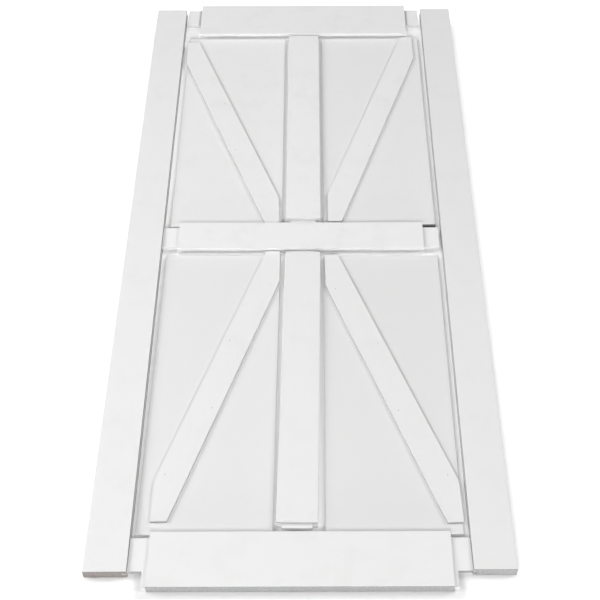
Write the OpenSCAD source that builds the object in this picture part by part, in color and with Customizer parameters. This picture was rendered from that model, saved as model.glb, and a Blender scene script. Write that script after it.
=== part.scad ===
// Two-panel sliding barn door leaf with radiating braces, a knock-down kit laid out dry and flat.
// The leaf lies face up: length along Y with its foot at -Y, width along X, thickness along Z.
// The origin is on the floor below the middle of the layout. Millimetres.

/* [Leaf] */
// Width of the leaf when it is pushed together
leaf_w = 914; // [760:1:1070]
// Height of the leaf when it is pushed together
leaf_h = 2134; // [1960:1:2440]
// Thickness of stiles, rails and mullions
leaf_t = 28; // [25:0.5:40]

/* [Frame members] */
// Width of each stile
stile_w = 102; // [85:1:130]
// Width of the top rail
top_rail_w = 161; // [145:1:190]
// Width of the middle rail
mid_rail_w = 103; // [90:1:130]
// Width of the bottom rail
bottom_rail_w = 141; // [125:1:180]
// Width of each mullion
mullion_w = 101; // [85:1:130]
// Flat eased along the long edges of the members
edge_ease = 1.2; // [0.4:0.1:2.5]

/* [Joinery] */
// Depth of the groove that takes panels, stub tenons and haunches
groove_d = 13; // [10:0.5:18]
// Play between a tongue or panel and each wall of its groove
groove_fit = 0.25; // [0.1:0.05:0.5]
// Length of the rail tenons
tenon_l = 46; // [38:0.5:52]
// Width of the tenons of the top and bottom rails
tenon_w = 85; // [70:1:95]
// Shoulder left between a grooved edge and a tenon
tenon_shoulder = 13.5; // [13.5:0.5:20]
// Distance from the outer edge of the top rail to its tenon
top_tenon_inset = 18; // [12:1:40]
// Play beside and behind a tenon in its mortise
mortise_play = 1; // [0.5:0.1:2]

/* [Panels and braces] */
// Thickness of a panel, and of the tongues that share its groove
panel_t = 10; // [8:0.5:12]
// How far a panel reaches into each groove of the finished leaf
panel_lap = 12.25; // [8:0.25:12.75]
// Width of a brace
brace_w = 74; // [60:1:95]
// Thickness of a brace
brace_t = 8; // [6:0.5:9]
// Pilot holes in each brace
pilot_count = 4; // [3:1:6]
// Diameter of a pilot hole
pilot_d = 2.2; // [1.5:0.1:5]
// Distance from a long edge of a brace to its pilot holes
pilot_edge = 19; // [12:1:28]
// Distance along the brace from its tip to the first pilot hole
pilot_inset = 130; // [110:1:180]

/* [Dry layout] */
// Gap between the tenons of the bottom rail and the left and right stile
stile_gap = [0.3, 0.7]; // [0.1:0.1:0.8]
// Gap between the left tenon of the middle rail and its stile
mid_gap = 0.25; // [0.1:0.05:0.8]
// Outward lean of the left and right stile
stile_splay = [0.28, 0.1]; // [0:0.02:0.5]
// Slide of the left and right stile along the leaf
stile_slide = [6, 9.5]; // [-15:0.5:15]
// Sideways slide of the top rail
top_rail_slide = -4.3; // [-5:0.1:5]
// How far the stub of the upper mullion stands in the top rail
mullion_entry = 2.2; // [1:0.1:8]
// Gap between the stub of the lower mullion and the middle rail
mullion_gap = 0.25; // [0.1:0.05:0.8]
// Sideways slide of the upper and lower mullion
mullion_slide = [0.3, -3.3]; // [-4:0.1:4]
// Turn of the upper and lower mullion
mullion_turn = [0.25, -0.63]; // [-0.8:0.01:0.8]
// Gap between a panel and the rail that it lies against
panel_seat = 0.15; // [0.05:0.05:0.3]
// Spare length between the lower panels and the middle rail
lower_slack = 11.5; // [3:0.5:16]
// Sideways slide of the panels: upper left, upper right, lower left, lower right
panel_slide = [-1.9, -0.5, -3.4, -1]; // [-5:0.1:5]
// Turn of the panels, in the same order
panel_turn = [0.25, 0.2, -0.15, 0]; // [-0.3:0.05:0.3]
// Sideways slide of the braces, in the same order
brace_slide = [-8, -4.2, 13.3, 0.9]; // [-14:0.1:14]
// Turn of the braces, in the same order
brace_turn = [1.59, 0.85, 0.69, 1.61]; // [0:0.01:2]
// Slide along the leaf of the upper left, upper right and lower right brace
brace_rise = [-14.5, 4, 6.5]; // [-15:0.5:8]
// Gap between the lower left brace and the middle rail it is pushed against
brace_seat = 0.3; // [0.1:0.1:1]

/* [Hidden] */
$fn = 48;
film_white = [0.93, 0.93, 0.92];
// overrun of a cutting body past the face it opens, and how deep a tongue is rooted in its member
overrun = 1;
root = 6;

// finished leaf
rail_l = leaf_w - 2 * stile_w;
bay_w = (rail_l - mullion_w) / 2;
bay_h = (leaf_h - top_rail_w - mid_rail_w - bottom_rail_w) / 2;
panel_w = bay_w + 2 * panel_lap;
panel_h = bay_h + 2 * panel_lap;
groove_w = panel_t + 2 * groove_fit;
groove_z = (leaf_t - groove_w) / 2;
stub_l = groove_d - mortise_play;
stub_w = mullion_w - 2 * tenon_shoulder;
mid_tenon_w = mid_rail_w - 2 * tenon_shoulder;
brace_l = norm([bay_w, bay_h]);
brace_a = atan2(bay_h, bay_w);

// start of each tenon from the lower edge of its rail
bottom_tenon_y = bottom_rail_w - tenon_shoulder - tenon_w;
mid_tenon_y = tenon_shoulder;
top_tenon_y = top_rail_w - top_tenon_inset - tenon_w;

// start and width of the tenons that each stile takes, from the foot of the stile
stile_tenons = [
    [bottom_tenon_y, tenon_w],
    [bottom_rail_w + bay_h + mid_tenon_y, mid_tenon_w],
    [leaf_h - top_rail_w + top_tenon_y, tenon_w]
];

// length that each panel takes up along the leaf once it is turned
panel_run = [for (a = panel_turn) panel_h * cos(a) + panel_w * abs(sin(a))];

// dry layout along the leaf, each value the lower edge of a rail
upper_open = max(panel_run[0], panel_run[1]) + 2 * panel_seat;
lower_open = max(panel_run[2], panel_run[3]) + panel_seat + lower_slack;
dry_h = bottom_rail_w + lower_open + mid_rail_w + upper_open + top_rail_w;
bottom_rail_y = -dry_h / 2;
mid_rail_y = bottom_rail_y + bottom_rail_w + lower_open;
top_rail_y = mid_rail_y + mid_rail_w + upper_open;
upper_mid_y = mid_rail_y + mid_rail_w + upper_open / 2;
lower_mid_y = mid_rail_y - lower_open / 2;

// dry layout across the leaf, worked out from the middle of the bottom rail: the stiles lean out from
// the lower corners of its tenons
stile_x = [for (gap = stile_gap) rail_l / 2 + tenon_l + gap];
pivot_y = bottom_rail_y + bottom_tenon_y;
mid_lean = tan(stile_splay[0]) * (mid_rail_y + mid_tenon_y - pivot_y);
mid_rail_x = mid_gap - stile_gap[0] - mid_lean;
room_x = (mullion_w / 2 + rail_l / 2 + tenon_l) / 2;

// shift that brings the middle of the layout over the origin
stile_reach = [
    for (i = [0, 1])
        stile_x[i] + stile_w * cos(stile_splay[i])
            + (stile_slide[i] + leaf_h / 2 - pivot_y) * sin(stile_splay[i])
];
centre_x = (stile_reach[0] - stile_reach[1]) / 2;

// bays in the order upper left, upper right, lower left, lower right
bay_side = [-1, 1, -1, 1];
bay_lean = [-1, 1, 1, -1];
// the lower left brace is pushed up until the corner at its tip meets the middle rail
tip_reach = bay_h / 2 * cos(brace_turn[2]) + bay_w / 2 * sin(brace_turn[2]);
panel_y = [
    top_rail_y - panel_seat - panel_run[0] / 2,
    top_rail_y - panel_seat - panel_run[1] / 2,
    bottom_rail_y + bottom_rail_w + panel_seat + panel_run[2] / 2,
    bottom_rail_y + bottom_rail_w + panel_seat + panel_run[3] / 2
];
// the upper mullion stands in the top rail, and the lower one ends just short of the middle rail
mullion_run = [for (a = mullion_turn) (bay_h / 2 + stub_l) * cos(a) + stub_w / 2 * abs(sin(a))];
mullion_y = [
    top_rail_y + mullion_entry - mullion_run[0],
    mid_rail_y - mullion_gap - mullion_run[1]
];
brace_y = [
    upper_mid_y + brace_rise[0],
    upper_mid_y + brace_rise[1],
    mid_rail_y - brace_seat - tip_reach,
    lower_mid_y + brace_rise[2]
];

// groove cut into the edge at width u, with its open side towards s
function groove_points(u, s) = [
    [u, leaf_t / 2 - s * groove_w / 2],
    [u - s * groove_d, leaf_t / 2 - s * groove_w / 2],
    [u - s * groove_d, leaf_t / 2 + s * groove_w / 2],
    [u, leaf_t / 2 + s * groove_w / 2]
];

// section of a member: eased corners, and a groove in its lower or upper edge where asked
function member_points(w, lower, upper) = concat(
    [[edge_ease, 0], [w - edge_ease, 0], [w, edge_ease]],
    upper ? groove_points(w, 1) : [],
    [[w, leaf_t - edge_ease], [w - edge_ease, leaf_t], [edge_ease, leaf_t], [0, leaf_t - edge_ease]],
    lower ? groove_points(0, -1) : [],
    [[0, edge_ease]]
);

// bar along X, centred, with its width from 0 up along Y
module member(length, w, lower, upper) {
    rotate([90, 0, 90])
        linear_extrude(length, center = true)
            polygon(member_points(w, lower, upper));
}

// tongue at both ends of a bar of the given length, from y over width w
module end_tongues(length, reach, y, w) {
    for (side = [-1, 1])
        translate([side * (length + reach - root) / 2, y + w / 2, leaf_t / 2])
            cube([reach + root, w, panel_t], center = true);
}

// stile with its grooved edge on x = 0 and its foot on y = 0
module stile() {
    difference() {
        translate([0, leaf_h / 2, 0])
            rotate([0, 0, 90])
                member(leaf_h, stile_w, true, false);
        for (t = stile_tenons)
            translate([-tenon_l - mortise_play, t[0] - mortise_play / 2, groove_z])
                cube([tenon_l + mortise_play + overrun, t[1] + mortise_play, groove_w]);
    }
}

// stile laid on the left of the rails, leaning out from the tenons of the bottom rail
module laid_stile(i) {
    color(film_white)
        translate([-stile_x[i], pivot_y, 0])
            rotate([0, 0, stile_splay[i]])
                translate([0, stile_slide[i] - leaf_h / 2 - pivot_y, 0])
                    stile();
}

module left_stile() {
    laid_stile(0);
}

module right_stile() {
    mirror([1, 0, 0])
        laid_stile(1);
}

module top_rail() {
    color(film_white)
        translate([top_rail_slide, top_rail_y, 0]) {
            member(rail_l, top_rail_w, true, false);
            end_tongues(rail_l, tenon_l, top_tenon_y, tenon_w);
        }
}

module mid_rail() {
    color(film_white)
        translate([mid_rail_x, mid_rail_y, 0]) {
            member(rail_l, mid_rail_w, true, true);
            end_tongues(rail_l, tenon_l, mid_tenon_y, mid_tenon_w);
        }
}

// the bottom tenon has a haunch that fills the groove out to the foot of the stile
module bottom_rail() {
    color(film_white)
        translate([0, bottom_rail_y, 0]) {
            member(rail_l, bottom_rail_w, false, true);
            end_tongues(rail_l, tenon_l, bottom_tenon_y, tenon_w);
            end_tongues(rail_l, stub_l, edge_ease, bottom_tenon_y + root);
        }
}

// mullion grooved on both edges, with a stub tenon at each end
module mullion(i) {
    color(film_white)
        translate([mullion_slide[i], mullion_y[i], 0])
            rotate([0, 0, mullion_turn[i] + 90])
                translate([0, -mullion_w / 2, 0]) {
                    member(bay_h, mullion_w, true, true);
                    end_tongues(bay_h, stub_l, tenon_shoulder, stub_w);
                }
}

module upper_mullion() {
    mullion(0);
}

module lower_mullion() {
    mullion(1);
}

// plain board on the floor between two rails
module panel(i) {
    color(film_white)
        translate([bay_side[i] * room_x + panel_slide[i], panel_y[i], panel_t / 2])
            rotate([0, 0, panel_turn[i]])
                cube([panel_w, panel_h, panel_t], center = true);
}

module upper_left_panel() {
    panel(0);
}

module upper_right_panel() {
    panel(1);
}

module lower_left_panel() {
    panel(2);
}

module lower_right_panel() {
    panel(3);
}

// strip along the bay diagonal, trimmed to the bay so that both tips end in a corner
module brace_outline() {
    intersection() {
        rotate(brace_a)
            square([brace_l, brace_w], center = true);
        square([bay_w, bay_h], center = true);
    }
}

// pilot holes in a zigzag along the strip
module pilot_holes() {
    pitch = (brace_l - 2 * pilot_inset) / (pilot_count - 1);
    rotate([0, 0, brace_a])
        for (k = [0 : pilot_count - 1])
            translate([
                pilot_inset + k * pitch - brace_l / 2,
                (brace_w / 2 - pilot_edge) * (k % 2 == 0 ? 1 : -1),
                -overrun
            ])
                cylinder(h = brace_t + 2 * overrun, d = pilot_d);
}

// brace lying on its panel
module brace(i) {
    color(film_white)
        translate([bay_side[i] * room_x + brace_slide[i], brace_y[i], panel_t])
            rotate([0, 0, brace_turn[i]])
                mirror([bay_lean[i] < 0 ? 1 : 0, 0, 0])
                    difference() {
                        linear_extrude(brace_t)
                            brace_outline();
                        pilot_holes();
                    }
}

module upper_left_brace() {
    brace(0);
}

module upper_right_brace() {
    brace(1);
}

module lower_left_brace() {
    brace(2);
}

module lower_right_brace() {
    brace(3);
}

translate([centre_x, 0, 0]) {
    left_stile();
    right_stile();
    top_rail();
    mid_rail();
    bottom_rail();
    upper_mullion();
    lower_mullion();
    upper_left_panel();
    upper_right_panel();
    lower_left_panel();
    lower_right_panel();
    upper_left_brace();
    upper_right_brace();
    lower_left_brace();
    lower_right_brace();
}
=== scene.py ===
import math

import bpy
import numpy as np
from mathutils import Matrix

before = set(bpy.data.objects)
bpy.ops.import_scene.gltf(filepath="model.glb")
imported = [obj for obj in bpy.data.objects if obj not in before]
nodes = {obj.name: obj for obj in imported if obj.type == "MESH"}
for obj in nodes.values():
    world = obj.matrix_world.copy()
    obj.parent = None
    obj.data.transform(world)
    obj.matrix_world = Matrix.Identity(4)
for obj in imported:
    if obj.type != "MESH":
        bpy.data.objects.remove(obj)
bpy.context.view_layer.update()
scene = bpy.context.scene
print("frame loaded:", len(nodes), "nodes")


# A socket that adds, multiplies and compares like a number: each operation adds one Math node.
class Sock:
    def __init__(self, tree, out=None):
        self.tree = tree
        self.out = out

    # any node: its type, its settings, then the values or links of its sockets
    def node(self, kind, settings=None, sockets=None, out=0):
        made = self.tree.nodes.new(kind)
        for key, value in (settings or {}).items():
            if key == "stops":
                for stop, (at, grey) in zip(made.color_ramp.elements, value):
                    stop.position = at
                    stop.color = (grey, grey, grey, 1)
            else:
                setattr(made, key, value)
        for key, value in (sockets or {}).items():
            if isinstance(value, Sock):
                self.tree.links.new(value.out, made.inputs[key])
            else:
                made.inputs[key].default_value = value
        return Sock(self.tree, made.outputs[out])

    def calc(self, operation, *values):
        return self.node("ShaderNodeMath", {"operation": operation}, dict(enumerate(values)))

    def __add__(self, other):
        return self.calc("ADD", self, other)

    def __radd__(self, other):
        return self.calc("ADD", other, self)

    def __sub__(self, other):
        return self.calc("SUBTRACT", self, other)

    def __rsub__(self, other):
        return self.calc("SUBTRACT", other, self)

    def __mul__(self, other):
        return self.calc("MULTIPLY", self, other)

    def __rmul__(self, other):
        return self.calc("MULTIPLY", other, self)

    def __neg__(self):
        return self.calc("MULTIPLY", self, -1)

    def __gt__(self, other):
        return self.calc("GREATER_THAN", self, other)

    def __lt__(self, other):
        return self.calc("LESS_THAN", self, other)

    def __abs__(self):
        return self.calc("ABSOLUTE", self)


def mixColour(mask, low, high):
    return mask.node("ShaderNodeMix", {"data_type": "RGBA"}, {0: mask, 6: low, 7: high}, out=2)


# a colour for a socket, lighter or darker by a factor
def toned(colour, factor):
    return (*(factor * c for c in colour), 1)


def axisOf(vector, axis):
    return vector.node("ShaderNodeSeparateXYZ", None, {"Vector": vector}, out=axis)


def newMaterial(name):
    mat = bpy.data.materials.new(name)
    mat.use_nodes = True
    tree = mat.node_tree
    return mat, Sock(tree), tree.nodes["Principled BSDF"]


def link(mat, value, socket):
    mat.node_tree.links.new(value.out, socket)


# nought below the first limit, one above the second, smooth between them
def fadeIn(value, limits):
    return value.node("ShaderNodeMapRange", {"interpolation_type": "SMOOTHSTEP"},
                      {"Value": value, "From Min": limits[0], "From Max": limits[1]})


# rises over the first pair of limits and falls over the second
def fadeBand(value, limits):
    return fadeIn(value, limits[0]) - fadeIn(value, limits[1])


scan = {"times": 3, "steps": 361, "closer": 60}      # each scan looks closer round the best turn so far


# turn, middle and half sizes of a board: it lies along the direction across which its corners spread least
def boardShape(node):
    co = np.zeros(len(node.data.vertices) * 3, np.float32)
    node.data.vertices.foreach_get("co", co)
    flat = co.reshape(-1, 3)[:, :2].astype(float)
    turn, reach = math.pi / 2, math.pi / 2
    for k in range(scan["times"]):
        turns = np.linspace(turn - reach, turn + reach, scan["steps"])
        across = flat @ np.array([-np.sin(turns), np.cos(turns)])
        turn = turns[np.ptp(across, axis=0).argmin()]
        reach = reach / scan["closer"]
    middle = (flat.max(0) + flat.min(0)) / 2
    ways = np.array([[math.cos(turn), -math.sin(turn)], [math.sin(turn), math.cos(turn)]])
    half = abs((flat - middle) @ ways).max(0)
    return turn, (middle[0], middle[1], 0), half


# Where the film stops the fibreboard core is bare; some colours here are deepened or laid on as painted
# shade,
# as noted at each. Places are in metres: along and across from the middle of the board, heights from the
# floor.
coreAndShade = {
    "colour": {
        # stile ends: bare core, brown on the left and grey on the right, deepened as painted shade on faces
        # turned from the light
        "left_stile": (0.281, 0.257, 0.245),
        "right_stile": (0.40, 0.40, 0.404),
        # near faces of the top tenons: a pale grey, darker than the film
        "top_rail": (0.57, 0.57, 0.57),
        # front face and tenon near faces of the bottom rail: bare core, deepened as painted shade
        "bottom_rail": (0.367, 0.367, 0.367),
        # painted shadow: the slot behind the right tenon of the mid rail, laid as a dark strip on this
        # panel's near edge
        "upper_right_panel": (0.11, 0.11, 0.11),
        # pilot holes: bare core deepened as painted shade; foot of each brace: painted contact shade
        "brace": (0.16, 0.15, 0.14),
    },
    "innerEdge": {"left_stile": (0.345, 0.338, 0.334), "right_stile": (0.40, 0.40, 0.404)},
    "pale": 1.15,         # the fibres run from paler to deeper than the colour
    "deep": 0.7,
    "fibres": {"scale": 240.0, "detail": 4.0, "limits": (0.3, 0.7), "share": 0.6},
    "rim": {"middle": 0.014, "limits": (0.009, 0.0138), "share": 0.4},     # deeper towards both faces
    "roughness": 0.3,     # more than the film has
    "skin": 0.0006,       # film that is left round a bare face
    "slotShadow": 0.0055,       # painted shadow of the slot behind the mid rail's right tenon, along the near edge of the panel
    "tenons": {           # where a tenon starts, and where its near edge lies
        "top_rail": (0.358, 0.022),
        "bottom_rail": (0.3675, 0.0275),
    },
    "braceTop": 0.0178,   # a pilot hole lies below the top of its brace
    "holeEdge": 0.006,    # and no nearer to the long edges and to the ends than this
    "holeEnd": 0.07,
    "braceFootShade": 0.0116,  # painted contact shade: the sides of a brace are dark from the panel up to this height
}


def innerEdge(name, half, crosswise):
    inward = crosswise if "right" in name else -crosswise
    return inward > half[1] - coreAndShade["skin"]


# one where a board is bare or painted with shade, nought where it has its film
def bareOrShadeMask(name, half, lengthwise, crosswise, height):
    if "stile" in name:
        return (abs(lengthwise) > half[0] - coreAndShade["skin"]) + innerEdge(name, half, crosswise)
    # on the upper right panel, a painted shadow of that slot along its near edge
    if "panel" in name:
        return -lengthwise > half[0] - coreAndShade["slotShadow"]
    # a brace: its pilot holes, and a painted contact shade along its foot
    if "brace" in name:
        hole = (height < coreAndShade["braceTop"]) * (abs(crosswise) < half[1] - coreAndShade["holeEdge"])
        hole = hole * (abs(lengthwise) < half[0] - coreAndShade["holeEnd"])
        return hole + (height < coreAndShade["braceFootShade"])
    start, nearEdge = coreAndShade["tenons"][name]
    tenon = (abs(lengthwise) > start) * (-crosswise > nearEdge)
    # the bottom rail's front face too: bare core deepened as painted shade
    if name == "bottom_rail":
        return tenon + (-crosswise > half[1] - coreAndShade["skin"])
    return tenon


def fibreboard(shade, colour):
    return mixColour(shade, toned(colour, coreAndShade["pale"]), toned(colour, coreAndShade["deep"]))


def bareOrShadeColour(name, kind, half, place, crosswise, height):
    fibres, rim = coreAndShade["fibres"], coreAndShade["rim"]
    grain = place.node("ShaderNodeTexNoise", None,
                       {"Vector": place, "Scale": fibres["scale"], "Detail": fibres["detail"]}, out="Fac")
    shade = fadeIn(grain, fibres["limits"]) * fibres["share"]
    shade = shade + fadeIn(abs(height - rim["middle"]), rim["limits"]) * rim["share"]
    colour = fibreboard(shade, coreAndShade["colour"][kind])
    if name in coreAndShade["innerEdge"]:
        edge = fibreboard(shade, coreAndShade["innerEdge"][name])
        colour = mixColour(innerEdge(name, half, crosswise), colour, edge)
    return colour


# Satin white film over fibreboard: faint handling marks, drawn streaks along the board, a soft orange peel.
film = {
    "white": (0.755, 0.755, 0.755),
    "smudge": (0.69, 0.69, 0.685, 1),
    "roughness": 0.42,
    "ior": 1.46,
    "marks": {"scale": 14.0, "detail": 5.0, "grain": 0.62, "stops": [(0.51, 0.0), (0.74, 1.0)],
              "darken": 0.5, "roughen": 0.10},
    "streaks": {"stretch": (1.5, 90.0, 90.0), "detail": 3.0, "darken": 0.12, "roughen": 0.05},
    "peel": {"scale": 420.0, "detail": 2.0, "strength": 0.5, "depth": 0.00004},
    "shoulderShade": {             # painted shade on the tenons of the top rail, in the corner by the shoulder
        "colour": (0.42, 0.42, 0.42, 1),
        "along": ((0.3545, 0.355), (0.356, 0.366)),
        "below": 0.0195,
    },
    "tone": {             # each board a little lighter or darker: partly the film's own tone, partly painted shade where less light falls
        "left_stile": 0.98, "right_stile": 0.957, "mid_rail": 1.02, "bottom_rail": 0.985,
        "upper_mullion": 1.01, "lower_mullion": 0.975,
        "upper_left_panel": 0.985, "upper_right_panel": 0.958,
        "lower_left_panel": 0.935, "lower_right_panel": 0.91,
        "lower_left_brace": 0.975, "lower_right_brace": 0.96,
    },
}


def filmMaterial(name, node):
    turn, middle, half = boardShape(node)
    mat, base, shader = newMaterial("film_" + name)
    place = base.node("ShaderNodeTexCoord", out="Object")
    along = base.node("ShaderNodeMapping", {"vector_type": "TEXTURE"},
                      {"Vector": place, "Location": middle, "Rotation": (0, 0, turn)})

    markLook, streakLook, peelLook = film["marks"], film["streaks"], film["peel"]
    patches = base.node("ShaderNodeTexNoise", None,
                        {"Vector": along, "Scale": markLook["scale"], "Detail": markLook["detail"],
                         "Roughness": markLook["grain"]}, out="Fac")
    marks = base.node("ShaderNodeValToRGB", {"stops": markLook["stops"]}, {"Fac": patches})
    stretched = base.node("ShaderNodeMapping", None, {"Vector": along, "Scale": streakLook["stretch"]})
    streaks = base.node("ShaderNodeTexNoise", None,
                        {"Vector": stretched, "Scale": 1.0, "Detail": streakLook["detail"]}, out="Fac")
    white = toned(film["white"], film["tone"].get(name, 1.0))
    smudged = marks * markLook["darken"] + streaks * streakLook["darken"]
    colour = mixColour(smudged, white, film["smudge"])
    roughness = film["roughness"] + marks * markLook["roughen"] + streaks * streakLook["roughen"]

    kind = "brace" if "brace" in name else name
    if kind in coreAndShade["colour"]:
        lengthwise, crosswise, height = axisOf(along, "X"), axisOf(along, "Y"), axisOf(place, "Z")
        # painted shade in the corners by the shoulders of the top tenons
        if name == "top_rail":
            shoulderShade = film["shoulderShade"]
            corner = fadeBand(abs(lengthwise), shoulderShade["along"]) * (height < shoulderShade["below"])
            colour = mixColour(corner, colour, shoulderShade["colour"])
        bareOrShade = bareOrShadeMask(name, half, lengthwise, crosswise, height)
        colour = mixColour(bareOrShade, colour, bareOrShadeColour(name, kind, half, place, crosswise, height))
        roughness = roughness + bareOrShade * coreAndShade["roughness"]
    link(mat, colour, shader.inputs["Base Color"])
    link(mat, roughness, shader.inputs["Roughness"])

    peel = base.node("ShaderNodeTexNoise", None,
                     {"Vector": place, "Scale": peelLook["scale"], "Detail": peelLook["detail"]}, out="Fac")
    bump = base.node("ShaderNodeBump", None,
                     {"Strength": peelLook["strength"], "Distance": peelLook["depth"], "Height": peel})
    link(mat, bump, shader.inputs["Normal"])
    shader.inputs["IOR"].default_value = film["ior"]
    return mat


# The panels get rounded edges; the other boards have their eased edges in the solid.
edges = {"merge": 0.00001, "flat": math.radians(0.5), "round": 0.0005, "steps": 3, "angle": math.radians(50)}


def easeEdges(node):
    weld = node.modifiers.new("weld", "WELD")
    weld.merge_threshold = edges["merge"]
    flat = node.modifiers.new("flat", "DECIMATE")
    flat.decimate_type = "DISSOLVE"
    flat.angle_limit = edges["flat"]
    bevel = node.modifiers.new("ease", "BEVEL")
    bevel.width = edges["round"]
    bevel.segments = edges["steps"]
    bevel.limit_method = "ANGLE"
    bevel.angle_limit = edges["angle"]
    bevel.harden_normals = True


for name, node in nodes.items():
    node.data.materials.clear()
    node.data.materials.append(filmMaterial(name, node))
    if "panel" in name:
        easeEdges(node)
print("film on", len(nodes), "boards")

# Pale floor, a flat square at z = 0 with a far rim that rises a little, so that it fills low views.
floorLook = {
    "half": 12.0,
    "rimReach": 40.0,
    "rimRise": 4.0,
    "colour": (0.87, 0.87, 0.87, 1),
    "roughness": 0.9,
}
mesh = bpy.data.meshes.new("floor")
corners = np.array([(-1, -1, 0), (1, -1, 0), (1, 1, 0), (-1, 1, 0)], float)
rim = corners * floorLook["rimReach"] + (0, 0, floorLook["rimRise"])
rimFaces = [(k, 4 + k, 4 + (k + 1) % 4, (k + 1) % 4) for k in range(4)]
mesh.from_pydata(np.vstack([corners * floorLook["half"], rim]), [], [(0, 1, 2, 3)] + rimFaces)
floor = bpy.data.objects.new("floor", mesh)
scene.collection.objects.link(floor)
mat, base, shader = newMaterial("floor_white")
place = base.node("ShaderNodeTexCoord", out="Object")
x, y = axisOf(place, "X"), axisOf(place, "Y")

# Painted light: it glows to pure white round the leaf, and a little in the gaps, where it lifts the shade
# beside the panels and before the mid rail. Limits are distances from the middle.
floorGlow = {
    "round": 0.5,
    "sides": (0.478, 0.60),
    "nearEnd": (1.105, 1.16),
    "farEnd": (0.955, 1.08),       # starts earlier, beside the tenons of the top rail
    "distant": 0.5,                # more where the lights no longer reach
    "distantFrom": (3.0, 9.0),
    "gaps": 0.065,
    "strip": 0.085,                # beside the outer edges of the panels
    "stripSides": ((0.380, 0.390), (0.395, 0.411)),
    "wideStrip": 0.13,             # more in the wider gap at the upper left
    "wideEnds": ((0.0, 0.3), (0.92, 0.96)),
    "mid": 0.24,                   # before the mid rail
    "midEnds": ((0.050, 0.056), (0.066, 0.072)),
    "midSides": ((0.066, 0.076), (0.376, 0.390)),
}
beside = fadeIn(abs(x), floorGlow["sides"])
beyond = fadeIn(-y, floorGlow["nearEnd"]) + fadeIn(y, floorGlow["farEnd"])
distant = fadeIn(x.calc("MAXIMUM", abs(x), abs(y)), floorGlow["distantFrom"])
strip = fadeBand(abs(x), floorGlow["stripSides"])
wideStrip = strip * fadeBand(y, floorGlow["wideEnds"]) * (x < 0)
midGap = fadeBand(-y, floorGlow["midEnds"]) * fadeBand(abs(x), floorGlow["midSides"])
glow = floorGlow["gaps"] + floorGlow["round"] * x.calc("MAXIMUM", beside, beyond)
glow = glow + floorGlow["distant"] * distant
glow = glow + floorGlow["strip"] * strip + floorGlow["wideStrip"] * wideStrip + floorGlow["mid"] * midGap
link(mat, mixColour(glow, (0, 0, 0, 1), (1, 1, 1, 1)), shader.inputs["Emission Color"])
shader.inputs["Emission Strength"].default_value = 1.0

# soft darkening before the bottom rail, and in the notches beside its haunches
floorShade = {
    "foot": 0.20,
    "footEnds": ((1.098, 1.114), (1.112, 1.150)),
    "notch": 0.22,
    "notchEnds": ((1.02, 1.03), (1.090, 1.102)),
    "sides": (0.36, 0.41),
}
dark = floorShade["foot"] * fadeBand(-y, floorShade["footEnds"])
dark = dark + floorShade["notch"] * fadeBand(-y, floorShade["notchEnds"])
dark = dark * (1 - fadeIn(abs(x), floorShade["sides"]))
link(mat, mixColour(dark, floorLook["colour"], (0, 0, 0, 1)), shader.inputs["Base Color"])
shader.inputs["Roughness"].default_value = floorLook["roughness"]
shader.inputs["Specular IOR Level"].default_value = 0.0
mesh.materials.append(mat)
print("floor laid")

# Soft light: a panel just behind and below the camera and a low one further back, both even at any
# distance, so that the shadows hide behind the boards; two big far panels at the sides, and a small one low
# on the left. Only the far ones give a sheen: the near ones would glare in views from the other side.
light = {
    "surround": 0.02,
    "panels": {
        "front": {"at": (-0.1, -2.65, 1.95), "size": (1.0, 0.8), "power": 5.9, "even": True},
        "lowFront": {"at": (0.0, -6.0, 0.9), "size": (4.0, 0.8), "power": 2.4, "even": True},
        "right": {"at": (10.5, 5.0, 12.0), "size": (7.0, 7.0), "power": 1330.0, "sheen": True},
        "left": {"at": (-11.5, 3.0, 12.0), "size": (7.0, 7.0), "power": 1140.0, "sheen": True},
        "lowLeft": {"at": (-3.2, -0.3, 2.1), "size": (1.6, 1.6), "power": 37.0},
    },
}
world = bpy.data.worlds.new("surround")
world.use_nodes = True
world.node_tree.nodes["Background"].inputs["Color"].default_value = (1, 1, 1, 1)
world.node_tree.nodes["Background"].inputs["Strength"].default_value = light["surround"]
scene.world = world
for name, look in light["panels"].items():
    lamp = bpy.data.lights.new(name, "AREA")
    lamp.shape = "RECTANGLE"
    lamp.size, lamp.size_y = look["size"]
    lamp.energy = look["power"]
    if "even" in look:
        lamp.use_nodes = True
        tree = lamp.node_tree
        strength = Sock(tree).node("ShaderNodeLightFalloff", None, {"Strength": 1.0}, out="Constant")
        tree.links.new(strength.out, tree.nodes["Emission"].inputs["Strength"])
    panel = bpy.data.objects.new(name, lamp)
    scene.collection.objects.link(panel)
    panel.location = look["at"]
    panel.visible_camera = False
    panel.visible_glossy = "sheen" in look
    panel.rotation_euler = (-panel.location).to_track_quat("-Z", "Y").to_euler()
print("lights set")

# Camera at the height and slant of the photo, with a hair of roll.
view = {
    "at": (0.04338, -2.23391, 2.42975),
    "down": 50.431,            # degrees
    "roll": -0.158,
    "focalPixels": 1126.6,
    "middleColumn": 316.66,    # where the straight view falls in the frame
    "frame": 600,
    "sensor": 36.0,
}
camData = bpy.data.cameras.new("camera")
camData.sensor_width = view["sensor"]
camData.lens = view["focalPixels"] * view["sensor"] / view["frame"]
camData.shift_x = (view["frame"] / 2 - view["middleColumn"]) / view["frame"]
camera = bpy.data.objects.new("camera", camData)
scene.collection.objects.link(camera)
camera.location = view["at"]
camera.rotation_mode = "ZXY"   # roll about the view axis first, then the slant
camera.rotation_euler = (math.radians(90 - view["down"]), 0, math.radians(view["roll"]))
scene.camera = camera
scene.view_settings.view_transform = "Standard"
print("camera set")
